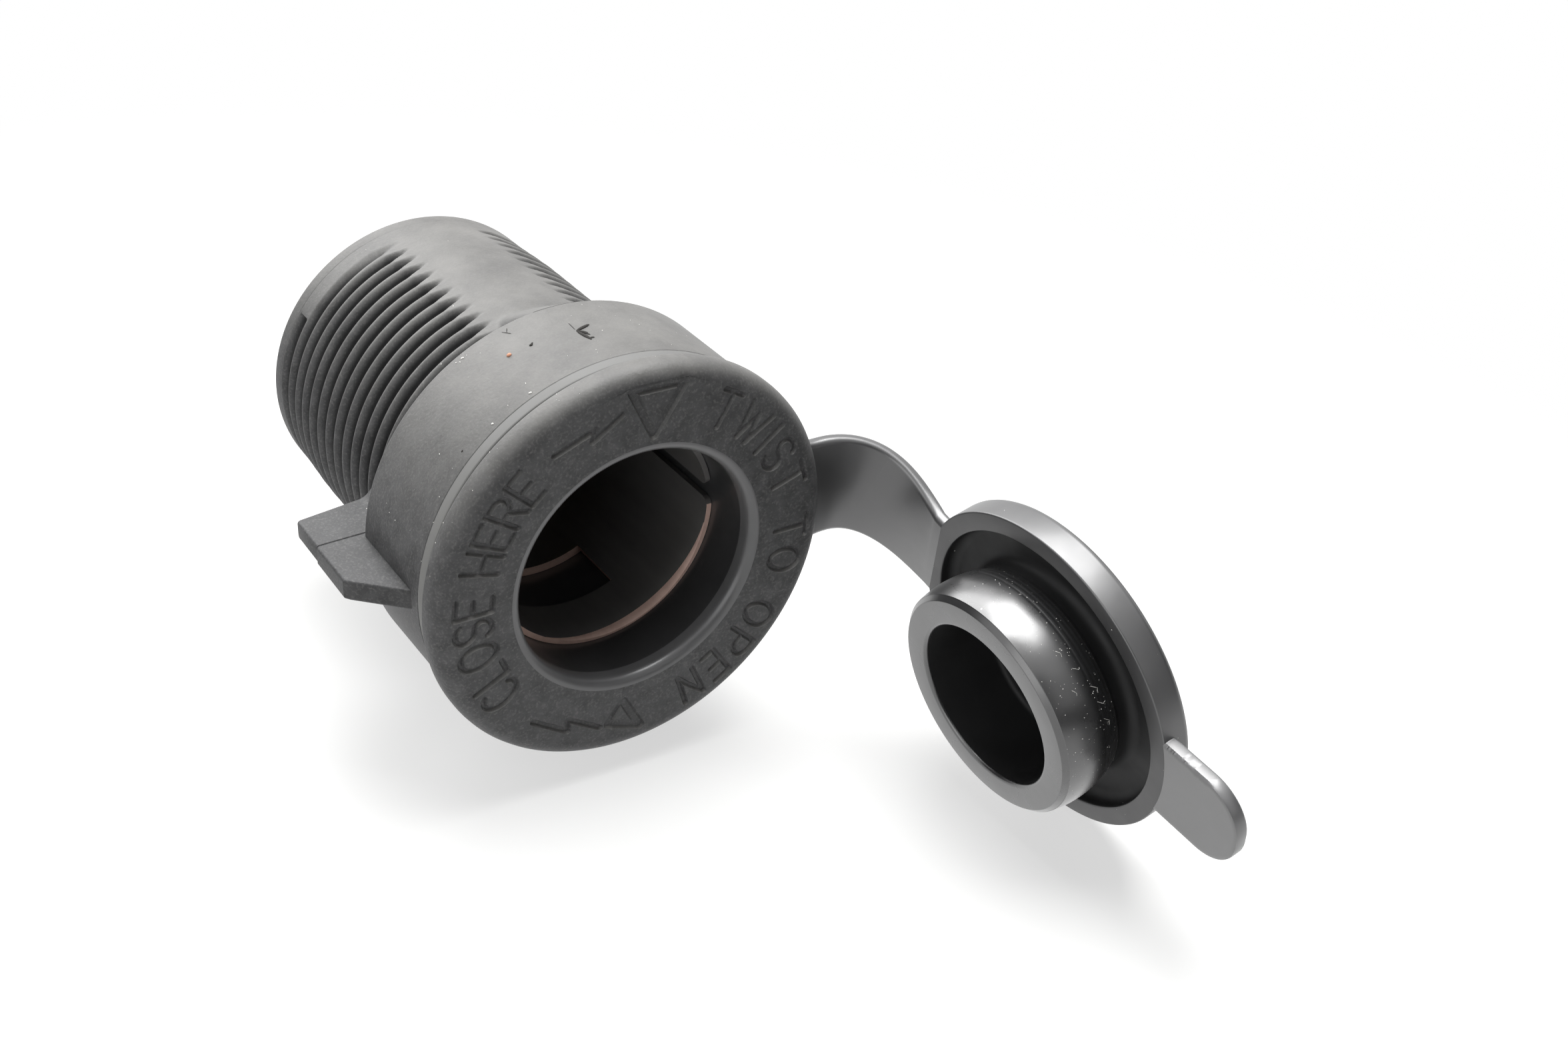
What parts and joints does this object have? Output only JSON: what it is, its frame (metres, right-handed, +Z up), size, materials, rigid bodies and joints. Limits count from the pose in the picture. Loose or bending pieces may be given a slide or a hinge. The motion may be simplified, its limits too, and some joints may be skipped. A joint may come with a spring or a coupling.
{
  "type": "panel power socket",
  "caption": "Round panel power socket with a threaded shank, an anti-turn fin, a rolled contact shell and a strapped plug-in cap.",
  "frame": {"origin": "on the socket's axis, in the plane of the shoulder that seats against the front of the panel", "axes": "+Y along the axis from the face to the terminals, +Z up through the upper thread pad, +X towards the strap"},
  "size_m": [0.0584, 0.0906, 0.0398],
  "materials": {
    "body": "fine grained matte",
    "rubber": "smooth satin",
    "shell": "dull copper coloured plating",
    "insulator": "moulded phenolic",
    "contact": "pressed",
    "rivet": "set",
    "blade": "tin plated"
  },
  "bodies": {
    "socket": {"socket_body": "body", "contact_shell": "shell", "centre_insulator": "insulator", "centre_contact": "contact", "centre_rivet": "rivet", "ground_rivet": "rivet", "positive_blade": "blade", "ground_blade": "blade", "cap_ring": "rubber"},
    "strap": {"cap_strap": "rubber"},
    "cap": {"cap": "rubber"}
  },
  "joints": [
    {"name": "cap_swing", "type": "hinge", "parent": "socket", "child": "strap", "pos_m": [0.02014, -0.01335, -0.00596], "axis": [-0.0648, 0.3234, -0.944], "range_deg": [-40, 97.53], "stiffness_Nm_per_rad": 0.02, "deforming": ["cap_strap"]},
    {"name": "cap_push", "type": "slide", "parent": "strap", "child": "cap", "axis": [-0.9596, -0.0127, -0.281], "range_m": [0, 0.00695], "stiffness_N_per_m": 60, "deforming": ["cap_strap"]}
  ]
}
